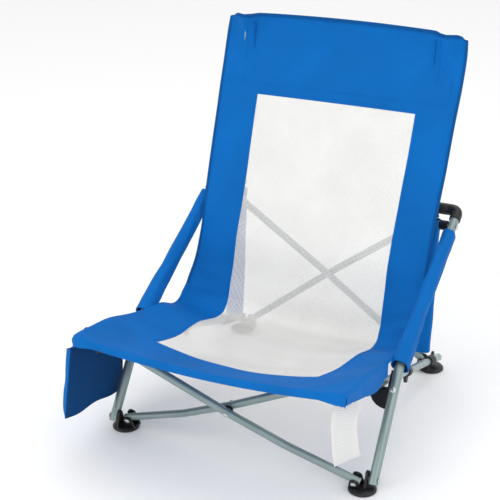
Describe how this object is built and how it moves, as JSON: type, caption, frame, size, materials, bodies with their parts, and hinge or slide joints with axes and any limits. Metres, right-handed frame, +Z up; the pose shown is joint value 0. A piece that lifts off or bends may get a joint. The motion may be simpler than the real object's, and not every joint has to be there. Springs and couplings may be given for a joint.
{
  "type": "folding sling camp chair",
  "caption": "Low folding sling chair: a steel tube frame with crossed bars front and rear, a fabric sling with a mesh panel, and a side pocket.",
  "frame": {"origin": "on the floor, under the middle of the open chair's bounding box", "axes": "+Z up, -Y towards the sitter's front, +X to the chair's left side as the sitter sits (the side without the pocket)"},
  "size_m": [0.6022, 0.679, 0.7411],
  "materials": {
    "tube": "satin",
    "plastic": "matte",
    "rivet": "satin",
    "fabric": "woven polyester",
    "mesh": "open mesh",
    "label": "woven label"
  },
  "bodies": {
    "cross_pin": {"front_cross_rivet": "rivet", "front_cross_washer": "plastic"},
    "front_bar_a": {"front_bar_a": "tube"},
    "front_bar_b": {"front_bar_b": "tube"},
    "front_foot_l": {"front_foot_l": "plastic", "front_foot_rivet_l": "rivet", "leg_rivet_l": "rivet"},
    "arm_l": {"arm_sleeve_l": "fabric", "elbow_l": "plastic", "leg_hub_l": "plastic", "leg_hub_rivet_l": "rivet", "leg_l": "tube", "rear_hub_l": "plastic", "rear_hub_rivet_l": "rivet"},
    "collar_l": {"elbow_collar_l": "plastic"},
    "post_l": {"back_border": "fabric", "back_mesh": "mesh", "upright_cap_l": "plastic", "upright_l": "tube"},
    "corner_l": {"corner_hub_l": "plastic", "corner_rivet_l": "rivet", "side_pivot_rivet_l": "rivet"},
    "side_l": {"seat_border": "fabric", "seat_clip_l": "plastic", "seat_mesh": "mesh", "side_bar_l": "tube", "side_bar_tip_l": "plastic", "side_collar_l": "plastic", "side_pocket": "fabric"},
    "rear_foot_l": {"rear_foot_l": "plastic", "rear_foot_rivet_l": "rivet", "side_bar_rivet_l": "rivet"},
    "rear_bar_l": {"rear_bar_l": "tube", "rear_cross_rivet_l": "rivet"},
    "front_foot_r": {"front_foot_r": "plastic", "front_foot_rivet_r": "rivet", "leg_rivet_r": "rivet"},
    "arm_r": {"arm_sleeve_r": "fabric", "elbow_r": "plastic", "leg_hub_r": "plastic", "leg_hub_rivet_r": "rivet", "leg_r": "tube", "rear_hub_r": "plastic", "rear_hub_rivet_r": "rivet"},
    "collar_r": {"elbow_collar_r": "plastic"},
    "post_r": {"upright_cap_r": "plastic", "upright_r": "tube"},
    "corner_r": {"corner_hub_r": "plastic", "corner_rivet_r": "rivet", "side_pivot_rivet_r": "rivet"},
    "side_r": {"care_label": "label", "seat_clip_r": "plastic", "side_bar_r": "tube", "side_bar_tip_r": "plastic", "side_collar_r": "plastic"},
    "rear_foot_r": {"rear_foot_r": "plastic", "rear_foot_rivet_r": "rivet", "side_bar_rivet_r": "rivet"},
    "rear_bar_r": {"rear_bar_r": "tube", "rear_cross_rivet_r": "rivet"}
  },
  "joints": [
    {"name": "chair_fold", "type": "hinge", "parent": "cross_pin", "child": "front_bar_a", "pos_m": [0.0149, -0.2335, 0.129], "axis": [0, -0.9336, -0.3584], "range_deg": [0, 50], "deforming": ["back_border", "back_mesh", "seat_border", "seat_mesh"]},
    {"name": "front_bar_b_cross", "type": "hinge", "parent": "cross_pin", "child": "front_bar_b", "pos_m": [0.0149, -0.2335, 0.129], "axis": [0, -0.9336, -0.3584], "range_deg": [-50, 0]},
    {"name": "front_foot_l_on_bar", "type": "hinge", "parent": "front_bar_a", "child": "front_foot_l", "pos_m": [-0.2281, -0.18525, 0.02702], "axis": [0, -0.9336, -0.3584], "range_deg": [-50, 0]},
    {"name": "leg_l_on_foot", "type": "hinge", "parent": "front_foot_l", "child": "arm_l", "pos_m": [-0.2596, -0.19, 0.0235], "axis": [1, 0, 0], "range_deg": [0, 61]},
    {"name": "elbow_l", "type": "hinge", "parent": "arm_l", "child": "collar_l", "pos_m": [-0.2571, 0.2835, 0.3865], "axis": [1, 0, 0], "range_deg": [-34.5, 0]},
    {"name": "upright_l_slide", "type": "slide", "parent": "collar_l", "child": "post_l", "axis": [0, -0.0918, -0.9958], "range_m": [0, 0.27]},
    {"name": "corner_l_on_bar", "type": "hinge", "parent": "front_bar_b", "child": "corner_l", "pos_m": [-0.2201, -0.28336, 0.23518], "axis": [0, -0.9336, -0.3584], "range_deg": [0, 50]},
    {"name": "side_bar_l_on_corner", "type": "hinge", "parent": "corner_l", "child": "side_l", "pos_m": [-0.2421, -0.2754, 0.2382], "axis": [1, 0, 0], "range_deg": [-42, 0]},
    {"name": "rear_foot_l_on_bar", "type": "hinge", "parent": "side_l", "child": "rear_foot_l", "pos_m": [-0.2231, 0.3185, 0.0265], "axis": [1, 0, 0], "range_deg": [0, 52]},
    {"name": "rear_bar_l_on_foot", "type": "hinge", "parent": "rear_foot_l", "child": "rear_bar_l", "pos_m": [-0.1961, 0.31603, 0.02662], "axis": [0, -0.9871, -0.1599], "range_deg": [0, 46]},
    {"name": "front_foot_r_on_bar", "type": "hinge", "parent": "front_bar_b", "child": "front_foot_r", "pos_m": [0.2579, -0.20112, 0.02093], "axis": [0, -0.9336, -0.3584], "range_deg": [0, 50]},
    {"name": "leg_r_on_foot", "type": "hinge", "parent": "front_foot_r", "child": "arm_r", "pos_m": [0.2894, -0.19, 0.0235], "axis": [1, 0, 0], "range_deg": [0, 61]},
    {"name": "elbow_r", "type": "hinge", "parent": "arm_r", "child": "collar_r", "pos_m": [0.2869, 0.2835, 0.3865], "axis": [1, 0, 0], "range_deg": [-34.5, 0]},
    {"name": "upright_r_slide", "type": "slide", "parent": "collar_r", "child": "post_r", "axis": [0, -0.0918, -0.9958], "range_m": [0, 0.27]},
    {"name": "corner_r_on_bar", "type": "hinge", "parent": "front_bar_a", "child": "corner_r", "pos_m": [0.2499, -0.26749, 0.24127], "axis": [0, -0.9336, -0.3584], "range_deg": [-50, 0]},
    {"name": "side_bar_r_on_corner", "type": "hinge", "parent": "corner_r", "child": "side_r", "pos_m": [0.2719, -0.2754, 0.2382], "axis": [1, 0, 0], "range_deg": [-42, 0]},
    {"name": "rear_foot_r_on_bar", "type": "hinge", "parent": "side_r", "child": "rear_foot_r", "pos_m": [0.2529, 0.3185, 0.0265], "axis": [1, 0, 0], "range_deg": [0, 52]},
    {"name": "rear_bar_r_on_foot", "type": "hinge", "parent": "rear_foot_r", "child": "rear_bar_r", "pos_m": [0.2259, 0.29925, 0.0239], "axis": [0, -0.9871, -0.1599], "range_deg": [-46, 0]}
  ],
  "couplings": [
    {"joint": "front_bar_b_cross", "follows": "chair_fold", "ratio": -1},
    {"joint": "front_foot_l_on_bar", "follows": "chair_fold", "ratio": -1},
    {"joint": "leg_l_on_foot", "follows": "chair_fold", "ratio": 1.22},
    {"joint": "elbow_l", "follows": "chair_fold", "ratio": -0.69},
    {"joint": "upright_l_slide", "follows": "chair_fold", "m_per_rad": 0.3094},
    {"joint": "corner_l_on_bar", "follows": "chair_fold", "ratio": 1},
    {"joint": "side_bar_l_on_corner", "follows": "chair_fold", "ratio": -0.84},
    {"joint": "rear_foot_l_on_bar", "follows": "chair_fold", "ratio": 1.04},
    {"joint": "rear_bar_l_on_foot", "follows": "chair_fold", "ratio": 0.92},
    {"joint": "front_foot_r_on_bar", "follows": "chair_fold", "ratio": 1},
    {"joint": "leg_r_on_foot", "follows": "chair_fold", "ratio": 1.22},
    {"joint": "elbow_r", "follows": "chair_fold", "ratio": -0.69},
    {"joint": "upright_r_slide", "follows": "chair_fold", "m_per_rad": 0.3094},
    {"joint": "corner_r_on_bar", "follows": "chair_fold", "ratio": -1},
    {"joint": "side_bar_r_on_corner", "follows": "chair_fold", "ratio": -0.84},
    {"joint": "rear_foot_r_on_bar", "follows": "chair_fold", "ratio": 1.04},
    {"joint": "rear_bar_r_on_foot", "follows": "chair_fold", "ratio": -0.92}
  ]
}
